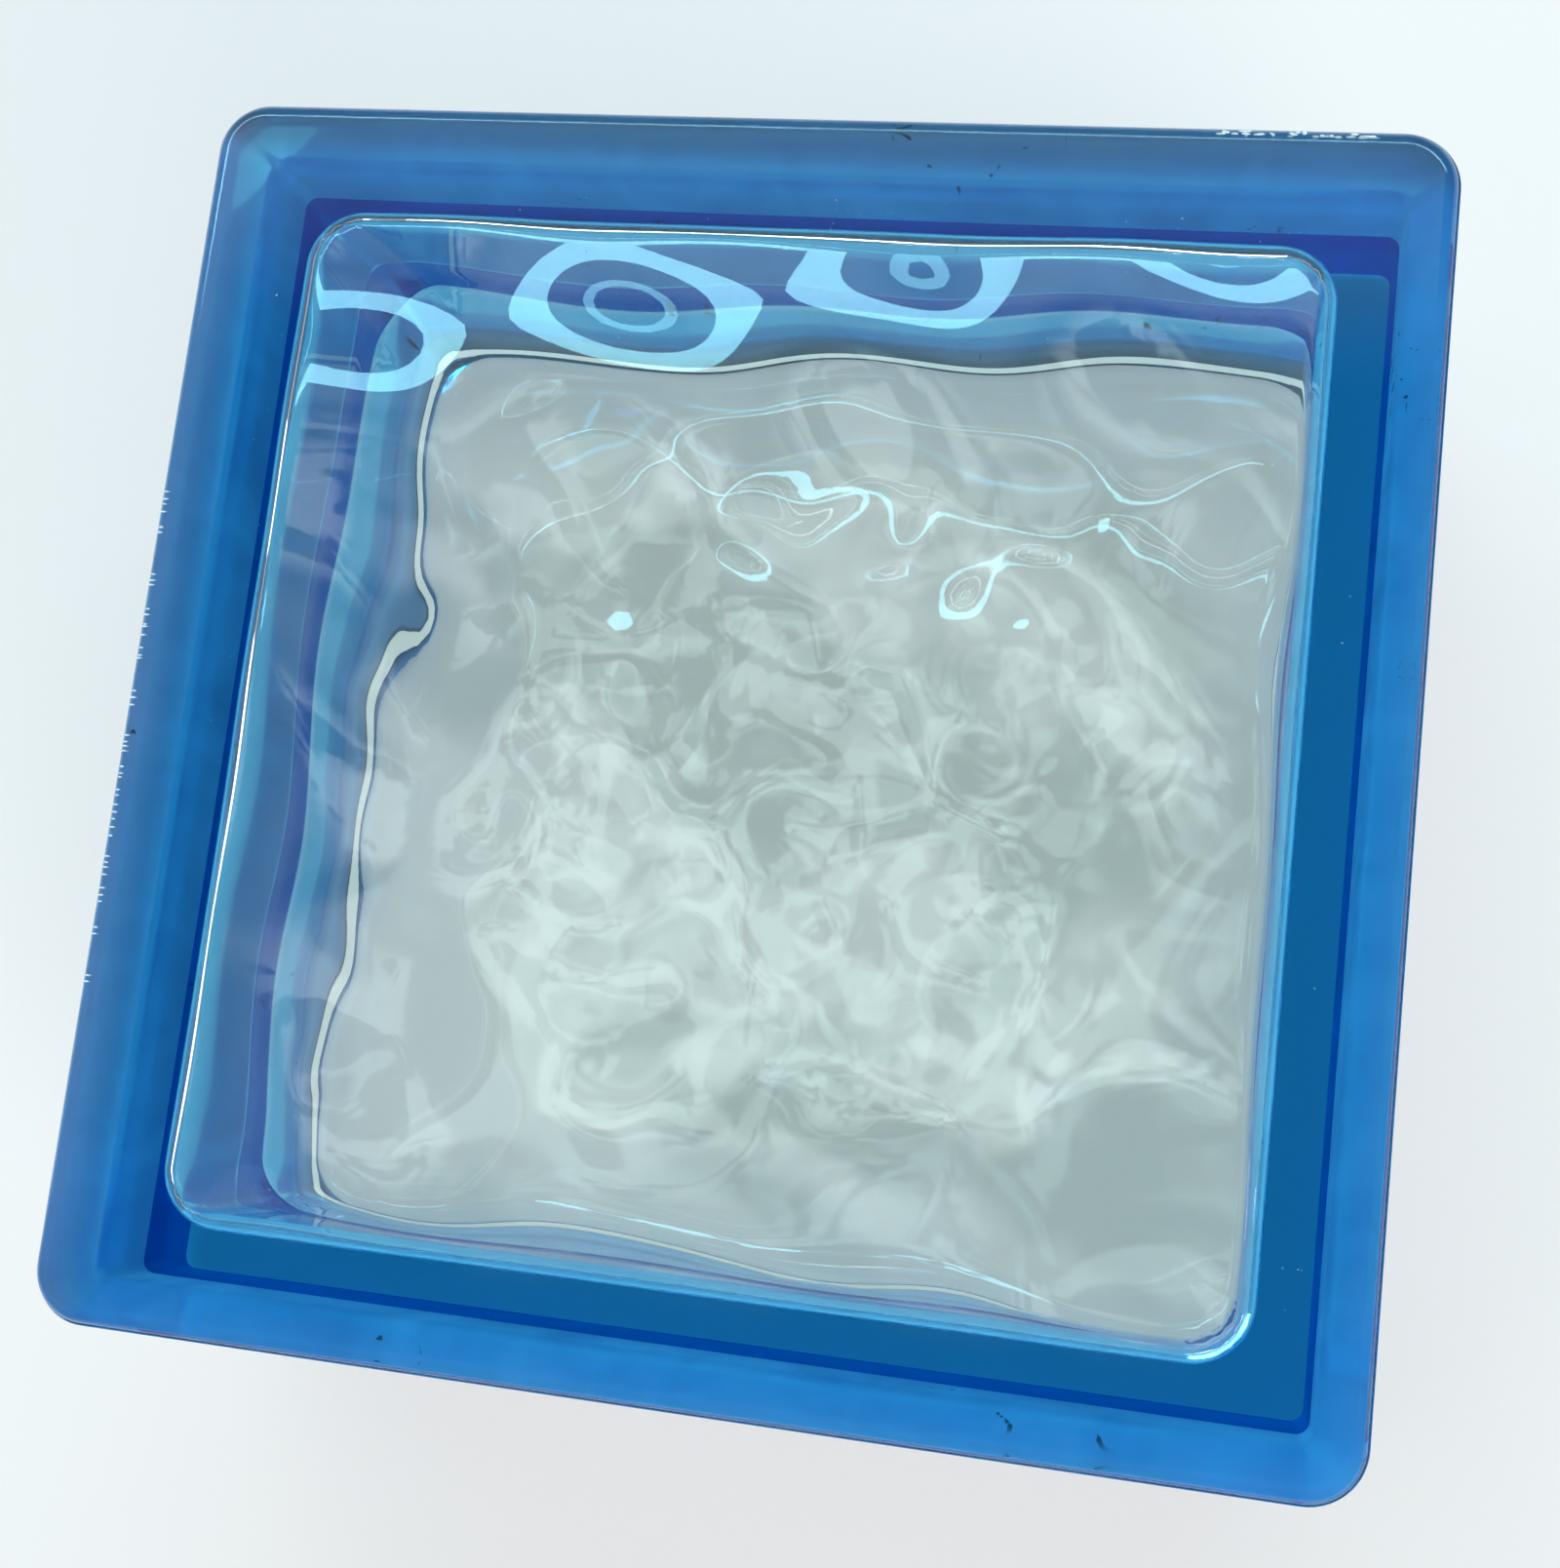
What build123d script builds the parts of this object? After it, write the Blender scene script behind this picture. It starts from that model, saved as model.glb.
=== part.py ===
"""Hollow pressed-glass block with wavy panes and a blue coat on its mortar edges.

The block lies on its back face: X and Y across the face, Z through the depth, origin at the middle
of the back face. Two half shells out of one mould meet at the seam, half way up.
"""

from build123d import *
import os
from math import pi, radians, sin, tan

# Overall size, over the coat
block_width = 190.0
block_depth = 80.0
coat_thickness = 0.3

# Outline of the glass and the rounding between face and lip
corner_radius = 8.0
face_edge_radius = 2.5

# Mortar channel between the lips of the two faces, and the bead that the fused seam leaves in it
lip_depth = 10.5
flank_height = 7.0
channel_depth = 6.0
seam_bead_height = 1.2
seam_bead_width = 4.0

# Hollow of one half: its border in from the side of the block, its pane and its bevelled corner
border_width = 15.5
pane_thickness = 8.0
cavity_corner_radius = 9.0
cavity_draft = 1.5
cavity_bevel = 3.0

# Waves on the inner side of a pane: crossed swells, bent by a slower one, and the spacing of the
# points that their face is drawn through
swell_height = 1.0
swell_length_x = 68.0
swell_length_y = 60.0
swell_phase_x = 0.4
swell_phase_y = 1.3
bend_reach = 8.0
bend_length = 130.0
bend_phase_x = 0.6
bend_phase_y = 2.1
wave_point_spacing = 6.0
wave_tolerance = 0.001

# Values that follow from the ones above
half_depth = block_depth / 2
glass_half_width = block_width / 2 - coat_thickness
coat_top = half_depth - face_edge_radius
cavity_width = block_width - 2 * border_width
lip_foot = half_depth - lip_depth
flank_foot = lip_foot - flank_height
cavity_height = half_depth - pane_thickness
draft_gain = cavity_height * tan(radians(cavity_draft))


def wave(x, y):
    """Height of the wavy face over its mean level, at a place on the pane."""
    across = x + bend_reach * sin(2 * pi * y / bend_length + bend_phase_x)
    along = y + bend_reach * sin(2 * pi * x / bend_length + bend_phase_y)
    swell_x = sin(2 * pi * across / swell_length_x + swell_phase_x)
    swell_y = sin(2 * pi * along / swell_length_y + swell_phase_y)
    return swell_height * swell_x * swell_y


def wavy_face(level):
    """A smooth face through the waves, wider than the hollow that it closes."""
    steps = int((cavity_width / 2 + 2 * draft_gain) / wave_point_spacing) + 2
    places = [wave_point_spacing * step for step in range(-steps, steps + 1)]
    points = [[(x, y, level + wave(x, y)) for y in places] for x in places]
    return Face.make_surface_from_array_of_points(points, wave_tolerance, min_deg=3, max_deg=3)


# The outline of the glass at the seam: the path that the edge sections are swept along
with BuildSketch(Plane.XY.offset(half_depth)) as outline:
    RectangleRounded(2 * glass_half_width, 2 * glass_half_width, corner_radius)
edge_path = outline.sketch.wire()
path_direction = edge_path % 0
edge_plane = Plane(
    origin=edge_path @ 0,
    x_dir=path_direction.cross(Vector(0, 0, 1)),
    z_dir=-path_direction,
)

# The glass edge as a cut across it shows: bead, channel floor, flank and lip, the same both ways
# from the seam. X points outwards from the lip and Y through the depth.
with BuildLine() as upper_edge:
    Polyline(
        (seam_bead_height - channel_depth, 0),
        (-channel_depth, seam_bead_width / 2),
        (-channel_depth, flank_foot),
        (0, lip_foot),
        (0, coat_top),
    )
with BuildLine() as glass_edge:
    add(upper_edge.line)
    mirror(upper_edge.line, about=Plane.XZ)

# The coat on that edge, as thick all along it
with BuildLine() as coat_edge:
    offset(
        glass_edge.line,
        amount=coat_thickness,
        kind=Kind.INTERSECTION,
        side=Side.RIGHT,
        closed=True,
    )

# The hollow of the upper half, up to its wavy pane
with BuildPart() as hollow:
    seam_width = cavity_width + 2 * draft_gain
    with BuildSketch(Plane.XY.offset(half_depth)):
        RectangleRounded(seam_width, seam_width, cavity_corner_radius + draft_gain)
    extrude(amount=cavity_height + 2 * swell_height, taper=cavity_draft)
    split(bisect_by=wavy_face(block_depth - pane_thickness), keep=Keep.BOTTOM)
    chamfer(hollow.faces().sort_by(Axis.Z)[-1].edges(), cavity_bevel)

# The space outside the glass edge, as deep as the block
with BuildPart() as edge_room:
    with BuildSketch(edge_plane):
        with BuildLine():
            add(glass_edge.line)
            Polyline(
                (0, coat_top),
                (channel_depth, coat_top),
                (channel_depth, -coat_top),
                (0, -coat_top),
            )
        make_face()
    sweep(path=edge_path)

# The half whose face looks up
with BuildPart() as front_shell:
    with BuildSketch(Plane.XY.offset(half_depth)):
        RectangleRounded(2 * glass_half_width, 2 * glass_half_width, corner_radius)
    extrude(amount=half_depth)
    fillet(front_shell.faces().sort_by(Axis.Z)[-1].edges(), face_edge_radius)
    add(edge_room.part, mode=Mode.SUBTRACT)
    add(hollow.part, mode=Mode.SUBTRACT)

# The same half turned over about the seam, so the block lies on its face
with BuildPart() as back_shell:
    add(front_shell.part.rotate(Axis((0, 0, half_depth), (1, 0, 0)), 180))

# The coat, from the rounding of one face to that of the other
with BuildPart() as side_coating:
    with BuildSketch(edge_plane):
        with BuildLine():
            add(coat_edge.line)
        make_face()
    sweep(path=edge_path)

os.makedirs("parts", exist_ok=True)
front_shell.part.label = "front_shell"
export_step(front_shell.part, "parts/front_shell.step")
back_shell.part.label = "back_shell"
export_step(back_shell.part, "parts/back_shell.step")
side_coating.part.label = "side_coating"
export_step(side_coating.part, "parts/side_coating.step")
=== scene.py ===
import random
from math import cos, pi, radians, sin, tan

import bmesh
import bpy
from mathutils import Matrix, Quaternion, Vector


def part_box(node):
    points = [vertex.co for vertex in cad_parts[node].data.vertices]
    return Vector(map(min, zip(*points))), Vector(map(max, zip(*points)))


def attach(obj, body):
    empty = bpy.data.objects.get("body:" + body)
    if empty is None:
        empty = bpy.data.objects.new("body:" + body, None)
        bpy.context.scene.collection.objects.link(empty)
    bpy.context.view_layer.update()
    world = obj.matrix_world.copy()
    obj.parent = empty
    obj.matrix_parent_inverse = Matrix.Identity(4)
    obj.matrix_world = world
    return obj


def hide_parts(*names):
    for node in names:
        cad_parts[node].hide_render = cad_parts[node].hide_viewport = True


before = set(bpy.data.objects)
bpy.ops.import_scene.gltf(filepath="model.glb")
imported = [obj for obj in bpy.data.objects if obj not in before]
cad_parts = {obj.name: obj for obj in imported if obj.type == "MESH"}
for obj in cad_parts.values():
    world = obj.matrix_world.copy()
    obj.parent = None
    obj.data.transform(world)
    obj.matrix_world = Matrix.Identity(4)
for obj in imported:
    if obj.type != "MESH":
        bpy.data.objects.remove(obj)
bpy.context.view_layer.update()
print("frame loaded")

# What the frame fixes: both faces, the seam between the halves, the glass edge and the coat on it
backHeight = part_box("back_shell")[0][2]
shellLow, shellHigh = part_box("front_shell")
seamHeight, faceHeight, glassHalf = shellLow[2], shellHigh[2], shellHigh[0]
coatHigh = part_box("side_coating")[1]
coatHalf, coatTop = coatHigh[0], coatHigh[2]
halfDepth = faceHeight - seamHeight
edgeRounding = faceHeight - coatTop


class Wire:  # a node's socket that takes part in sums
    def __init__(self, paint, socket):
        self.paint = paint
        self.socket = socket

    def maths(self, operation, *others):
        values = {0: self, **dict(enumerate(others, 1))}
        return self.paint.add("ShaderNodeMath", {"operation": operation}, values)

    def __add__(self, other):
        return self.maths("ADD", other)

    def __sub__(self, other):
        return self.maths("SUBTRACT", other)

    def __rsub__(self, other):
        return self.maths("MULTIPLY_ADD", -1.0, other)

    def __mul__(self, other):
        return self.maths("MULTIPLY", other)


class Paint:  # the node tree of one material, or of the world
    def __init__(self, name, world=None):
        self.owner = world or bpy.data.materials.new(name)
        self.owner.use_nodes = True
        self.tree = self.owner.node_tree
        self.tree.nodes.clear()

    def add(self, kind, settings=None, values=None, output=0):
        node = self.tree.nodes.new(kind)
        for key, setting in (settings or {}).items():
            setattr(node, key, setting)
        for key, value in (values or {}).items():
            if isinstance(value, Wire):
                self.tree.links.new(value.socket, node.inputs[key])
            else:
                node.inputs[key].default_value = value
        return Wire(self, node.outputs[output])

    def where(self):
        return self.add("ShaderNodeTexCoord", output="Object")

    def axis(self, name):
        return self.add("ShaderNodeSeparateXYZ", values={"Vector": self.where()}, output=name)

    def place(self, stretch=(1, 1, 1), shift=(0, 0, 0)):
        values = {"Vector": self.where(), "Scale": stretch, "Location": shift}
        return self.add("ShaderNodeMapping", values=values)

    def noise(self, vector, scale, detail, roughness, distortion):
        return self.add("ShaderNodeTexNoise", values={
            "Vector": vector, "Scale": scale, "Detail": detail,
            "Roughness": roughness, "Distortion": distortion,
        })

    def span(self, value, low, high, newLow=0.0, newHigh=1.0, kind="SMOOTHSTEP"):
        values = {0: value, 1: low, 2: high, 3: newLow, 4: newHigh}
        return self.add("ShaderNodeMapRange", {"interpolation_type": kind}, values)

    def window(self, value, rise, fall):
        return self.span(value, *rise) * (1 - self.span(value, *fall))

    def mix(self, factor, first, second):
        return self.add("ShaderNodeMixShader", values={0: factor, 1: first, 2: second})

    def finish(self, surface, kind="ShaderNodeOutputMaterial"):
        end = self.tree.nodes.new(kind)
        self.tree.links.new(surface.socket, end.inputs["Surface"])
        return self.owner


def glass(name, look):
    p = Paint(name)
    return p.finish(p.add("ShaderNodeBsdfPrincipled", values={
        "Base Color": look["colour"], "IOR": look["ior"],
        "Roughness": look["roughness"], "Transmission Weight": 1.0,
    }))


def clearFilm(name, colour):
    p = Paint(name)
    return p.finish(p.add("ShaderNodeBsdfTransparent", values={"Color": colour}))


# Shapes that the pieces share

edgeSizes = {
    "cornerRadius": 0.008,
    "cornerSteps": 16,
    "roundingSteps": 8,
    "lipDepth": 0.0105,
    "flankHeight": 0.007,
    "channelDepth": 0.006,
    "channelRounding": 0.0018,
    "channelSteps": 5,
    "beadHeight": 0.0012,
    "beadWidth": 0.004,
    "beadSlope": 0.35,
}

hollowSizes = {
    "border": 0.0155,
    "pane": 0.008,
    "cornerRadius": 0.009,
    "cornerSteps": 14,
    "draft": 1.5,
    "fillet": 0.0035,
    "filletSteps": 7,
    "gridSpacing": 0.0016,
    "seamSlice": 0.001,
    "waveReach": 0.014,
    "beadHeight": 0.0006,
    "beadWidth": 0.003,
}

waveSizes = {
    "swellHeight": 0.00007,
    "swellLengthX": 0.068,
    "swellLengthY": 0.060,
    "swellPhaseX": 0.4,
    "swellPhaseY": 1.3,
    "bendReach": 0.008,
    "bendLength": 0.130,
    "bendPhaseX": 0.6,
    "bendPhaseY": 2.1,
    "ripples": (  # height, length, heading and phase of each
        (0.00040, 0.0520, 1.739, 1.693),
        (0.00034, 0.0355, 0.784, 4.406),
        (0.00024, 0.0342, 0.247, 1.953),
        (0.00016, 0.0614, 0.964, 5.096),
        (0.00020, 0.0393, 1.761, 4.377),
        (0.00003, 0.0481, 2.676, 2.404),
    ),
    "fineCount": 9,
    "fineHeight": 0.000062,
    "fineShortest": 0.012,
    "fineLongest": 0.021,
    "calmFrom": 0.045,
    "calmWidth": 0.020,
    "calmBack": 0.0,
    "calmBackWidth": 0.050,
    "seed": 3,
}


def fineRipples():
    w = waveSizes
    draw = random.Random(w["seed"])
    return [
        (w["fineHeight"], draw.uniform(w["fineShortest"], w["fineLongest"]),
         pi * (number + draw.random()) / w["fineCount"], draw.uniform(0, 2 * pi))
        for number in range(w["fineCount"])
    ]


rippleSets = {"everywhere": waveSizes["ripples"], "middle": fineRipples()}


def ease(t):
    t = min(max(t, 0.0), 1.0)
    return t * t * (3 - 2 * t)


def wave(x, y):  # the height of a pane's inner face over its mean level
    w = waveSizes
    across = x + w["bendReach"] * sin(2 * pi * y / w["bendLength"] + w["bendPhaseX"])
    along = y + w["bendReach"] * sin(2 * pi * x / w["bendLength"] + w["bendPhaseY"])
    swellX = sin(2 * pi * across / w["swellLengthX"] + w["swellPhaseX"])
    swellY = sin(2 * pi * along / w["swellLengthY"] + w["swellPhaseY"])
    height = w["swellHeight"] * swellX * swellY
    busy = 1 - ease((max(abs(x), -y) - w["calmFrom"]) / w["calmWidth"])
    busy *= 1 - ease((y - w["calmBack"]) / w["calmBackWidth"])
    for share, ripples in ((1, rippleSets["everywhere"]), (busy, rippleSets["middle"])):
        for rise, length, heading, phase in ripples:
            height += share * rise * sin(2 * pi * (x * cos(heading) + y * sin(heading)) / length + phase)
    return height


def bevelEdges(bm, edges, offset, steps):
    bmesh.ops.bevel(bm, geom=edges, offset=offset, offset_type="OFFSET", segments=steps, profile=0.5,
                    affect="EDGES", clamp_overlap=True, material=-1)


def roundedBox(bm, halfWidth, low, high, radius, steps):
    place = Matrix.Translation((0, 0, (low + high) / 2))
    size = Matrix.Diagonal((2 * halfWidth, 2 * halfWidth, high - low, 1))
    bmesh.ops.create_cube(bm, size=1, matrix=place @ size)
    upright = [e for e in bm.edges if abs(e.verts[0].co.z - e.verts[1].co.z) > 1e-6]
    bevelEdges(bm, upright, radius, steps)


def cutAcross(bm, place, normal):
    bmesh.ops.bisect_plane(bm, geom=bm.verts[:] + bm.edges[:] + bm.faces[:], dist=1e-7,
                           plane_co=place, plane_no=normal)


def levelEdges(bm, *heights):
    return [e for e in bm.edges for h in heights if all(abs(v.co.z - h) < 1e-6 for v in e.verts)]


def sideFaces(bm, halfHeight):
    bm.normal_update()
    return [f for f in bm.faces
            if abs(f.calc_center_median().z - seamHeight) < halfHeight and abs(f.normal.z) < 0.9]


def glassOutside(bm):
    e = edgeSizes
    roundedBox(bm, glassHalf, backHeight, faceHeight, e["cornerRadius"], e["cornerSteps"])
    bevelEdges(bm, levelEdges(bm, faceHeight, backHeight), edgeRounding, e["roundingSteps"])
    lipFoot = halfDepth - e["lipDepth"]
    flankFoot = lipFoot - e["flankHeight"]
    for height, inset, depth in (
        (lipFoot, e["flankHeight"], -e["channelDepth"]),
        (e["beadWidth"] / 2, e["beadWidth"] * e["beadSlope"], e["beadHeight"]),
    ):
        for side in (1, -1):
            cutAcross(bm, (0, 0, seamHeight + side * height), (0, 0, 1))
        bmesh.ops.inset_region(bm, faces=sideFaces(bm, height), thickness=inset, depth=depth,
                               use_even_offset=True, use_boundary=True)
    heights = [seamHeight + side * height for height in (lipFoot, flankFoot) for side in (1, -1)]
    bevelEdges(bm, levelEdges(bm, *heights), e["channelRounding"], e["channelSteps"])


def hollow(bm):
    h = hollowSizes
    halfWidth = coatHalf - h["border"]
    low = backHeight + h["pane"]
    high = faceHeight - h["pane"]
    gain = (high - seamHeight) * tan(radians(h["draft"]))
    roundedBox(bm, halfWidth, low, high, h["cornerRadius"], h["cornerSteps"])
    bevelEdges(bm, levelEdges(bm, high, low), h["fillet"], h["filletSteps"])
    steps = int(halfWidth / h["gridSpacing"]) + 1
    for step in range(-steps, steps + 1):
        place = step * h["gridSpacing"]
        cutAcross(bm, (place, 0, 0), (1, 0, 0))
        cutAcross(bm, (0, place, 0), (0, 1, 0))
    for layer in range(1, int((high - low) / h["gridSpacing"])):
        cutAcross(bm, (0, 0, low + layer * h["gridSpacing"]), (0, 0, 1))
    for side in (-0.5, 0.5):
        cutAcross(bm, (0, 0, seamHeight + side * h["seamSlice"]), (0, 0, 1))
    for v in bm.verts:
        x, y, z = v.co
        depth = abs(z - seamHeight)
        bead = h["beadHeight"] * ease(1 - depth / h["beadWidth"])
        grown = 1 + (gain * min(1.0, (high - seamHeight - depth) / (high - seamHeight)) - bead) / halfWidth
        v.co.x, v.co.y = x * grown, y * grown
        x, y = v.co.x, v.co.y
        frontShare = ease(1 - (high - z) / h["waveReach"])
        backShare = ease(1 - (z - low) / h["waveReach"])
        v.co.z += frontShare * wave(x, y) - backShare * wave(x, -y)
    bmesh.ops.reverse_faces(bm, faces=bm.faces[:])
    return halfWidth + gain, h["cornerRadius"] + gain


def join(bm, other, name):  # moves another shape into this one
    mesh = bpy.data.meshes.new(name)
    other.to_mesh(mesh)
    other.free()
    bm.from_mesh(mesh)


def piece(name, bm, *materials):
    for face in bm.faces:
        face.smooth = True
    mesh = bpy.data.meshes.new(name)
    bm.to_mesh(mesh)
    bm.free()
    made = bpy.data.objects.new(name, mesh)
    bpy.context.scene.collection.objects.link(made)
    for material in materials:
        mesh.materials.append(material)
    return made


# The glass of both halves: clear on the faces and in the hollow, open where the coat lies on it

clearLook = {"colour": (0.90, 0.985, 0.965, 1), "ior": 1.52, "roughness": 0.0, "bonded": (1, 1, 1, 1)}

outside = bmesh.new()
glassOutside(outside)
outside.normal_update()
for face in outside.faces:
    z = face.calc_center_median().z
    onSide = backHeight + edgeRounding < z < faceHeight - edgeRounding and abs(face.normal.z) < 0.95
    face.material_index = 1 if onSide else 0
band = outside.copy()
inside = bmesh.new()
seamHalf, seamCorner = hollow(inside)
join(outside, inside, "hollow")
glassBody = piece("glass_body", outside, glass("clear_glass", clearLook),
                  clearFilm("bonded_glass", clearLook["bonded"]))
weighted = glassBody.modifiers.new("Weighted normals", "WEIGHTED_NORMAL")
weighted.keep_sharp = True
print("glass body", len(glassBody.data.polygons))

# The coat: a thin closed band on the glass edge, milky inside and worn on its lips, with painted shade
# darkening the lips on the back side and a painted dark line near its end at the face

coatLook = {
    "colour": (0.8, 0.96, 1.0, 1),
    "ior": 1.52,
    "roughness": 0.12,
    "filmColour": (0.16, 0.66, 0.98, 1),
    "seamColour": (0.11, 0.50, 0.78, 1),
    "milkColour": (0.06, 0.50, 1.0, 1),
    "milkRange": (0.35, 0.57),
    "milkCloud": (0.30, 0.70),
    "milkThrough": 0.75,
    "sunkMilk": 0.06,
    "sunkSpan": (0.014, 0.022),
    "lipMilk": 0.2,
    "lipSpan": (0.027, 0.030),
    "wornColour": (0.30, 0.44, 0.76, 1),
    "worn": 0.2,
    "wornLeft": 0.6,
    "wornSpan": (0.020, 0.036),
    "wornRange": (0.75, 1.0),
    "wornCloud": (0.25, 0.75),
    "leftSpan": (-0.0935, -0.0890),
    # painted shade: a dark slate colour and its strength for the back side's lips, standing in for shade on
    # that side
    "paintedShadeColour": (0.09, 0.14, 0.20, 1),
    "paintedShade": 0.85,
    "backSpan": (0.0885, 0.0925),
    # dark colour for the scuff marks, and for a painted dark line near the coat's end that stands in for
    # shade
    "scuffAndShadeColour": (0.01, 0.02, 0.05, 1),
    "paintedDarkLine": 0.5,
    "paintedDarkLineSpan": (0.0367, 0.0371),
    "cloud": {"scale": 55, "detail": 2, "roughness": 0.6, "distortion": 0.4},
    "cloudStretch": (1, 1, 0.35),
    "scuff": {"scale": 260, "detail": 2, "roughness": 0.6, "distortion": 1.2},
    "scuffStretch": (1, 1, 0.3),
    "scuffShift": (0.9, 0.3, 0.2),
    "scuffSpan": (0.66, 0.70),
    "spot": {"scale": 28, "detail": 1, "roughness": 0.5, "distortion": 0.0},
    "spotShift": (0.2, 0.7, 0.1),
    "spotSpan": (0.60, 0.66),
    "scuffs": 0.8,
}

coatSizes = {
    "gap": 0.00005,
    "finThickness": 0.0001,
    "finGap": 0.00005,
    "finCorner": 0.003,
    "finSteps": 12,
}


def coatFilm():
    k = coatLook
    p = Paint("blue_coat_film")
    height = (p.axis("Z") - seamHeight).maths("ABSOLUTE")
    cloud = p.noise(p.place(k["cloudStretch"]), **k["cloud"])
    clear = p.add("ShaderNodeBsdfTransparent", values={"Color": k["filmColour"]})
    lit = p.add("ShaderNodeBsdfDiffuse", values={"Color": k["milkColour"]})
    through = p.add("ShaderNodeBsdfTranslucent", values={"Color": k["milkColour"]})
    worn = p.add("ShaderNodeBsdfTranslucent", values={"Color": k["wornColour"]})
    paintedShade = p.add("ShaderNodeBsdfDiffuse", values={"Color": k["paintedShadeColour"]})
    scuffAndShade = p.add("ShaderNodeBsdfDiffuse", values={"Color": k["scuffAndShadeColour"]})

    sunk = 1 - p.span(height, *k["sunkSpan"])
    lips = p.span(height, *k["lipSpan"])
    milk = p.span(cloud, *k["milkCloud"], *k["milkRange"], "LINEAR")
    milk = milk + sunk * k["sunkMilk"] + lips * k["lipMilk"]
    body = p.mix(milk, clear, p.mix(k["milkThrough"], lit, through))

    rim = p.span(height, *k["wornSpan"]) * p.span(cloud, *k["wornCloud"], *k["wornRange"], "LINEAR")
    leftSide = 1 - p.span(p.axis("X"), *k["leftSpan"])
    backSide = p.span(p.axis("Y"), *k["backSpan"])
    body = p.mix(rim * (leftSide * k["wornLeft"] + k["worn"]), body, worn)
    # painted shade: the worn lip band on the back side is painted dark slate, standing in for shade on that
    # side
    body = p.mix(rim * backSide * k["paintedShade"], body, paintedShade)
    # painted shade: a thin dark line painted along the coat near its end at the face
    body = p.mix(p.span(height, *k["paintedDarkLineSpan"]) * k["paintedDarkLine"], body, scuffAndShade)

    scuff = p.noise(p.place(k["scuffStretch"], k["scuffShift"]), **k["scuff"])
    spot = p.noise(p.place(shift=k["spotShift"]), **k["spot"])
    marks = p.span(scuff, *k["scuffSpan"]) * p.span(spot, *k["spotSpan"])
    return p.finish(p.mix(marks * k["scuffs"], body, scuffAndShade))


def closeBand(bm):  # keeps the sides of the glass, and makes them a closed skin just outside it
    bmesh.ops.delete(bm, geom=[f for f in bm.faces if f.material_index == 0], context="FACES")
    bm.normal_update()
    for v in bm.verts:
        v.co += Vector((v.normal.x, v.normal.y, v.normal.z)) * coatSizes["gap"]
    kept = bm.faces[:]
    bmesh.ops.solidify(bm, geom=kept, thickness=-(coatHalf - glassHalf - coatSizes["gap"]))
    bmesh.ops.recalc_face_normals(bm, faces=bm.faces[:])
    inner = set(kept)
    for face in bm.faces:
        face.material_index = 1 if face in inner else 0


def seamFin(bm):  # the tinted ring in the glass wall at the seam
    c = coatSizes
    outer = glassHalf - edgeSizes["channelDepth"] + edgeSizes["beadHeight"] - c["finGap"]
    inner = seamHalf - hollowSizes["beadHeight"] + c["finGap"]
    for halfWidth, corner in ((outer, c["finCorner"]), (inner, seamCorner)):
        plate = bmesh.ops.create_grid(bm, x_segments=1, y_segments=1, size=halfWidth)["verts"]
        bmesh.ops.bevel(bm, geom=plate, offset=corner, offset_type="OFFSET", segments=c["finSteps"],
                        profile=0.5, affect="VERTICES", clamp_overlap=True, material=-1)
    bmesh.ops.translate(bm, vec=(0, 0, seamHeight - c["finThickness"] / 2), verts=bm.verts[:])
    bmesh.ops.delete(bm, geom=bm.faces[:], context="FACES_ONLY")
    bmesh.ops.triangle_fill(bm, edges=bm.edges[:], use_beauty=True)
    bmesh.ops.solidify(bm, geom=bm.faces[:], thickness=c["finThickness"])
    bmesh.ops.recalc_face_normals(bm, faces=bm.faces[:])
    for face in bm.faces:
        face.material_index = 2


closeBand(band)
fin = bmesh.new()
seamFin(fin)
join(band, fin, "fin")
coat = piece("blue_coat_band", band, glass("blue_coat", coatLook), coatFilm(),
             clearFilm("seam_film", coatLook["seamColour"]))
print("coat", len(coat.data.polygons))

# Gas seeds in the glass, and ticks and chips on the rounding of its face

seedSizes = {
    "colour": (0.80, 0.90, 0.95, 1),
    "roughness": 0.15,
    "count": 110,
    "smallest": 0.00006,
    "largest": 0.00022,
    "wallInside": 0.0005,
    "wallOutside": 0.0006,
    "reach": 0.075,
    "heights": (0.012, 0.068),
    "paneDepths": (0.0012, 0.0058),
    "seed": 7,
}

chipSizes = {
    "inset": 0.56,
    "under": 0.10,
    "thickness": 0.0001,
    "tickGroups": 13,
    "groupFrom": 0.030,
    "groupPitch": 0.0062,
    "groupDrift": 0.001,
    "ticksEach": (2, 6),
    "tickPitch": 0.0010,
    "tickPitchRange": (0.8, 1.2),
    "tickLength": 0.0009,
    "tickLengthRange": (0.5, 1.0),
    "tickWidth": 0.00016,
    "chipCount": 34,
    "chipFrom": 0.060,
    "chipTo": 0.083,
    "chipDrift": 0.0004,
    "chipLengths": (0.0002, 0.0009),
    "chipWidths": (0.0001, 0.0003),
    "seed": 5,
}


def seedLook():
    p = Paint("glass_seed")
    return p.finish(p.add("ShaderNodeBsdfPrincipled", values={
        "Base Color": seedSizes["colour"], "Roughness": seedSizes["roughness"],
    }))


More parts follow.
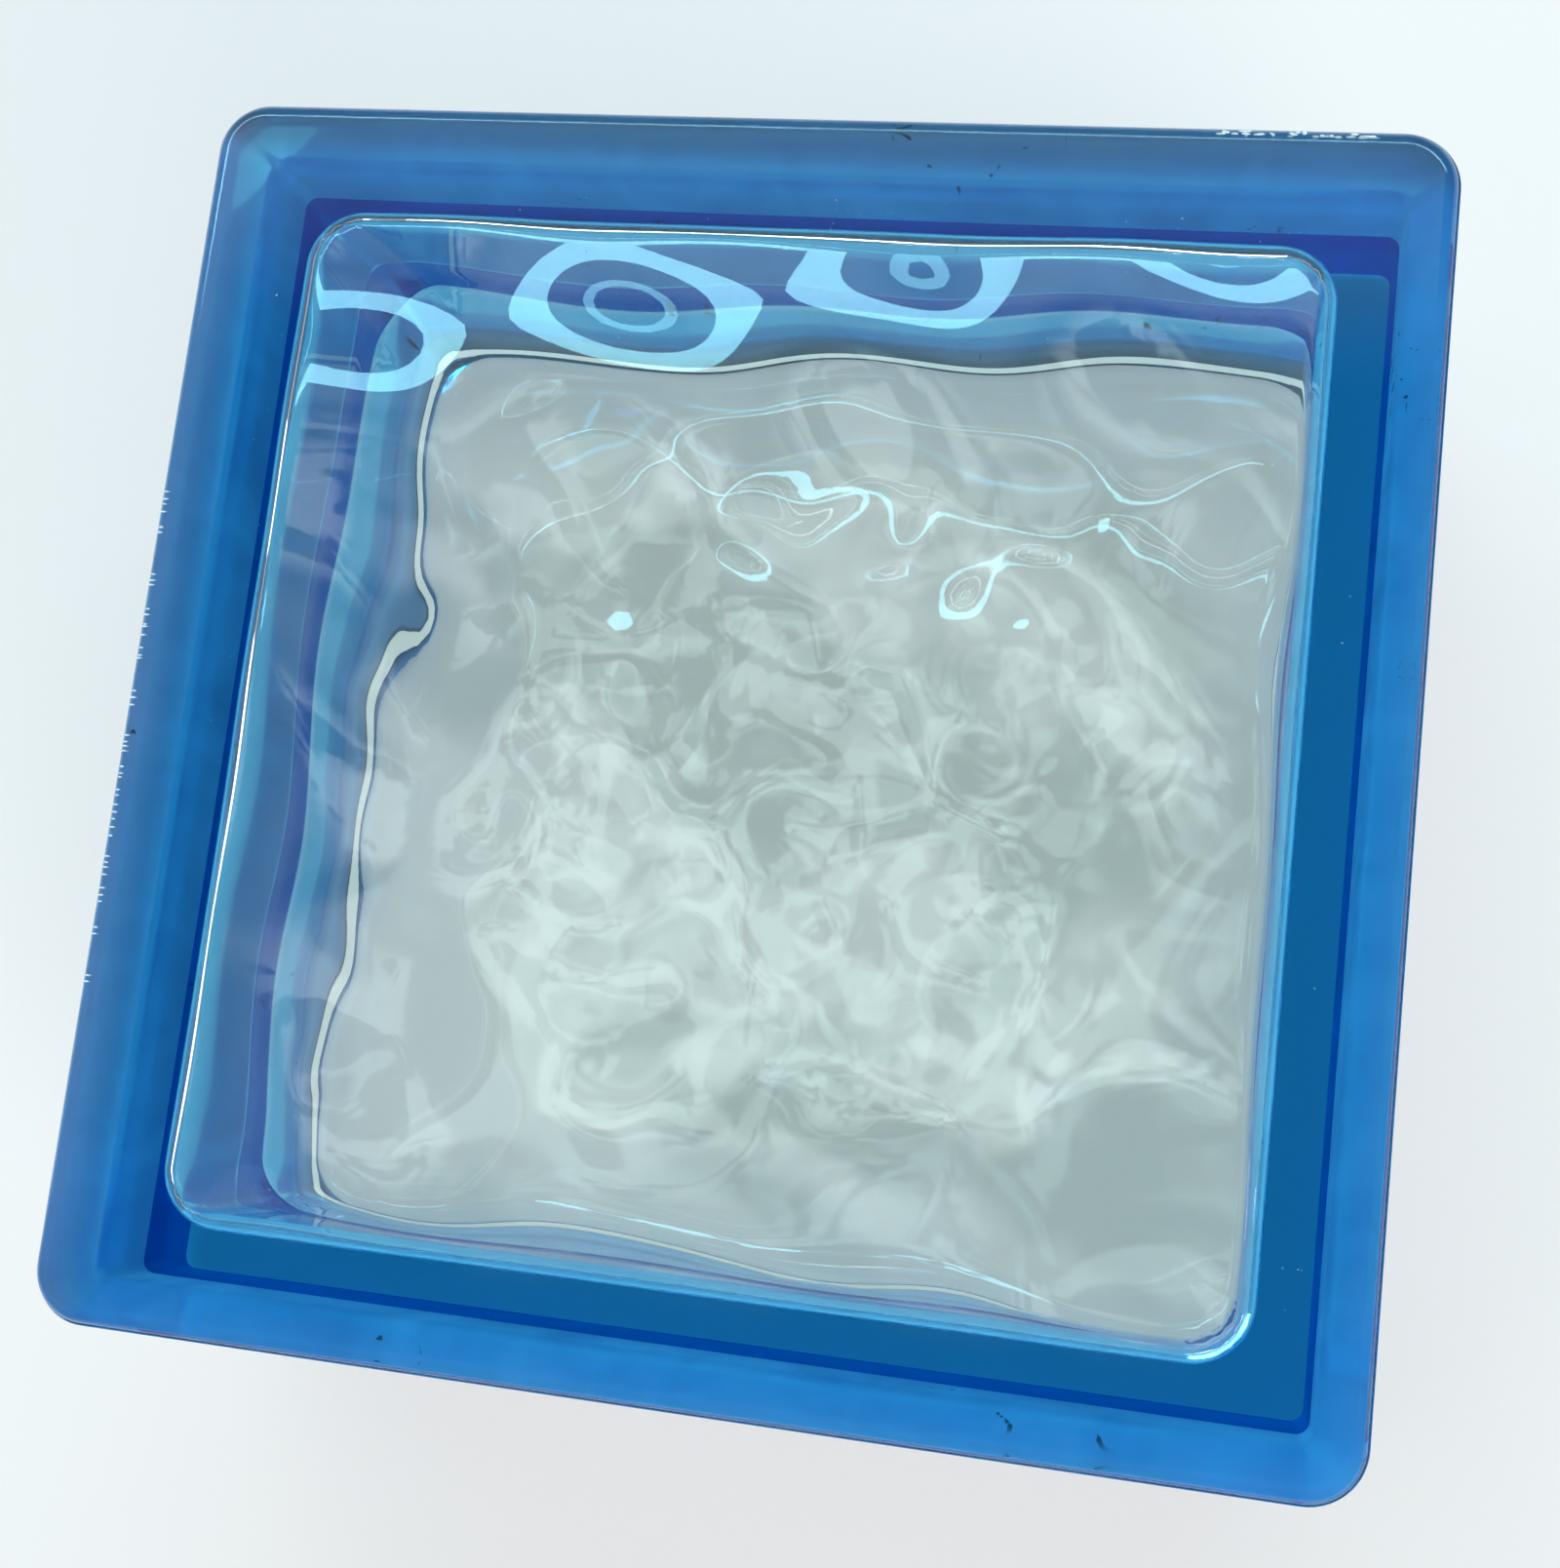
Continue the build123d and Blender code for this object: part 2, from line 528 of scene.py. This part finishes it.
def glassSeeds(bm):  # three in four in the walls, the rest in the front pane
    s = seedSizes
    draw = random.Random(s["seed"])
    reach = (-s["reach"], s["reach"])
    wall = (seamHalf + s["wallInside"], glassHalf - edgeSizes["channelDepth"] - s["wallOutside"])
    for number in range(s["count"]):
        radius = s["smallest"] + (s["largest"] - s["smallest"]) * draw.random() ** 3
        if number % 4:
            across, along = draw.uniform(*wall), draw.uniform(*reach)
            place = [along, across, draw.uniform(*s["heights"])]
            if number % 4 == 2:
                place = [-across, along, place[2]]
            if number % 16 == 1:
                place = [across, along, place[2]]
        else:
            place = [draw.uniform(*reach), draw.uniform(*reach), faceHeight - draw.uniform(*s["paneDepths"])]
        bmesh.ops.create_icosphere(bm, subdivisions=1, radius=radius, matrix=Matrix.Translation(place))


def fleck(bm, place, halfLengths):
    at = Matrix.Translation(place) @ Matrix.Diagonal(list(halfLengths) + [1])
    bmesh.ops.create_icosphere(bm, subdivisions=1, radius=1, matrix=at)


def edgeChips(bm):  # the ticks along the left edge of the face, and the chips near its right back corner
    s = chipSizes
    draw = random.Random(s["seed"])
    edge = glassHalf - edgeRounding * s["inset"]
    under = faceHeight - edgeRounding * s["under"]
    for group in range(s["tickGroups"]):
        start = s["groupFrom"] - s["groupPitch"] * group + draw.uniform(-s["groupDrift"], s["groupDrift"])
        for tick in range(draw.randint(*s["ticksEach"])):
            length = s["tickLength"] * draw.uniform(*s["tickLengthRange"])
            along = start - tick * s["tickPitch"] * draw.uniform(*s["tickPitchRange"])
            fleck(bm, (-edge, along, under), (length, s["tickWidth"], s["thickness"]))
    for chip in range(s["chipCount"]):
        place = (draw.uniform(s["chipFrom"], s["chipTo"]),
                 edge + draw.uniform(-s["chipDrift"], s["chipDrift"]), under)
        fleck(bm, place, (draw.uniform(*s["chipLengths"]), draw.uniform(*s["chipWidths"]), s["thickness"]))


dots = bmesh.new()
glassSeeds(dots)
edgeChips(dots)
seeds = piece("glass_seeds", dots, seedLook())
print("seeds", len(seeds.data.polygons))

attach(seeds, "root")
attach(glassBody, "root")
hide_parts("front_shell", "back_shell")
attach(coat, "root")
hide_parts("side_coating")

# Floor, studio and lamps

floorLook = {
    "size": 6.0,
    "gap": 0.0004,
    "colour": (0.80, 0.80, 0.79, 1),
    "glow": 0.5,
    "glassGlow": 0.40,
}

skyLook = {
    "colour": (0.97, 0.98, 1.0, 1),
    "light": 0.18,
    "seen": 0.70,
    "glassSeen": 0.40,
}

panelLook = {
    "low": (-1.7, -0.6, 1.6),
    "high": (1.0, 1.6, 1.6),
    "thickness": 0.002,
    "colour": (0.94, 0.98, 1.0),
    "patchy": 2.6,
    "patches": {"scale": 4.4, "detail": 2, "roughness": 0.5, "distortion": 0.6},
    "patchSpan": (0.44, 0.54),
    "patchyAcross": ((-0.80, -0.62), (-0.02, 0.16)),
    "patchyAlong": ((-0.25, -0.08), (0.42, 0.60)),
    "back": 0.7,
    "backAcross": ((-1.65, -1.25), (0.5, 0.95)),
    "backAlong": ((0.60, 0.80), (1.15, 1.55)),
}


def paleFloor():
    p = Paint("pale_floor")
    skin = p.add("ShaderNodeBsdfDiffuse", values={"Color": floorLook["colour"]})
    glow = p.add("ShaderNodeEmission", values={"Color": (1, 1, 1, 1), "Strength": 1.0})
    seen = p.add("ShaderNodeLightPath", output="Is Camera Ray") * floorLook["glow"]
    for ray in ("Is Glossy Ray", "Is Transmission Ray"):
        seen = seen.maths("MAXIMUM", p.add("ShaderNodeLightPath", output=ray) * floorLook["glassGlow"])
    return p.finish(p.mix(seen, skin, glow))


def paleSky(world):
    p = Paint("sky", world)
    seen = p.add("ShaderNodeLightPath", output="Is Camera Ray") * skyLook["seen"]
    through = p.add("ShaderNodeLightPath", output="Is Transmission Ray") * skyLook["glassSeen"]
    seen = seen.maths("MAXIMUM", through).maths("MAXIMUM", skyLook["light"])
    sky = p.add("ShaderNodeBackground", values={"Color": skyLook["colour"], "Strength": seen})
    return p.finish(sky, "ShaderNodeOutputWorld")


def softPanel():  # a mottled diffuser over the panes, and a dimmer strip behind it
    k = panelLook
    p = Paint("soft_panel")
    across, along = p.axis("X"), p.axis("Y")
    over = p.window(across, *k["patchyAcross"]) * p.window(along, *k["patchyAlong"])
    back = p.window(along, *k["backAlong"]) * p.window(across, *k["backAcross"])
    cloud = p.span(p.noise(p.where(), **k["patches"]), *k["patchSpan"])
    light = over * cloud * k["patchy"] + back * k["back"]
    colour = p.add("ShaderNodeVectorMath", {"operation": "SCALE"}, {"Vector": k["colour"], "Scale": light})
    return p.finish(p.add("ShaderNodeEmission", values={"Color": colour, "Strength": 1.0}))


ground = bmesh.new()
bmesh.ops.create_grid(ground, x_segments=1, y_segments=1, size=floorLook["size"] / 2)
bmesh.ops.translate(ground, vec=(0, 0, backHeight - floorLook["gap"]), verts=ground.verts)
floor = piece("floor", ground, paleFloor())

bpy.context.scene.world = paleSky(bpy.data.worlds.new("studio"))

middle = [(a + b) / 2 for a, b in zip(panelLook["low"], panelLook["high"])]
spread = [b - a or panelLook["thickness"] for a, b in zip(panelLook["low"], panelLook["high"])]
sheet = bmesh.new()
bmesh.ops.create_cube(sheet, size=1, matrix=Matrix.Translation(middle) @ Matrix.Diagonal(spread + [1]))
panel = piece("soft_panel", sheet, softPanel())
panel.active_material.cycles.emission_sampling = "NONE"
print("floor and sky")

keyColour = (0.37, 0.83, 1.0)
backColour = (1.0, 0.98, 0.95)
warmColour = (1.0, 0.97, 0.93)
lamps = {  # only the first two show as reflections
    "key": {"place": (-0.15, 0.82, 1.2), "size": (2.18, 0.13), "power": 13, "colour": keyColour},
    "nested": {"place": (-0.15, 1.02, 1.12), "size": (2.18, 0.03), "power": 1.6, "colour": keyColour},
    "back": {"place": (-0.875, 4.25, 1.375), "size": (3.25, 0.5), "power": 68.75, "colour": backColour},
    "front": {"place": (0.62, -0.72, 1.25), "size": (0.6, 0.6), "power": 2.5, "colour": warmColour},
    "low": {"place": (3.0, -3.25, 1.0), "size": (5.5, 1.25), "power": 362, "colour": warmColour},
    "left": {"place": (-4.0, -0.75, 1.5), "size": (4.0, 2.25), "power": 50, "colour": warmColour},
}
for name, lamp in lamps.items():
    data = bpy.data.lights.new(name, "AREA")
    data.shape = "RECTANGLE"
    data.size, data.size_y = lamp["size"]
    data.energy = lamp["power"]
    data.color = lamp["colour"]
    made = bpy.data.objects.new(name, data)
    made.location = lamp["place"]
    made.rotation_mode = "QUATERNION"
    made.rotation_quaternion = (-Vector(lamp["place"])).to_track_quat("-Z", "Y")
    made.visible_glossy = name in ("key", "nested")
    bpy.context.scene.collection.objects.link(made)
print("lamps", len(lamps))

cameraLook = {
    "place": (0.0661, -0.0506, 0.3697),
    "aim": (0.00778, -0.00687, 0.08),
    "roll": 6.68,
    "lens": 48.3,
    "sensor": 36,
    "clipStart": 0.01,
}
data = bpy.data.cameras.new("camera")
data.lens = cameraLook["lens"]
data.sensor_width = cameraLook["sensor"]
data.clip_start = cameraLook["clipStart"]
camera = bpy.data.objects.new("camera", data)
camera.location = Vector(cameraLook["place"])
aim = (Vector(cameraLook["aim"]) - camera.location).normalized()
right = aim.cross(Vector((0, 1, 0))).normalized()
level = Matrix((right, right.cross(aim), -aim)).transposed()
camera.rotation_mode = "QUATERNION"
camera.rotation_quaternion = level.to_quaternion() @ Quaternion((0, 0, 1), radians(cameraLook["roll"]))
bpy.context.scene.collection.objects.link(camera)
bpy.context.scene.camera = camera

scene = bpy.context.scene
scene.view_settings.view_transform = "Standard"
scene.cycles.max_bounces = 10
scene.cycles.transmission_bounces = 10
scene.cycles.transparent_max_bounces = 12
scene.cycles.glossy_bounces = 4
scene.cycles.diffuse_bounces = 1
scene.cycles.use_light_tree = False
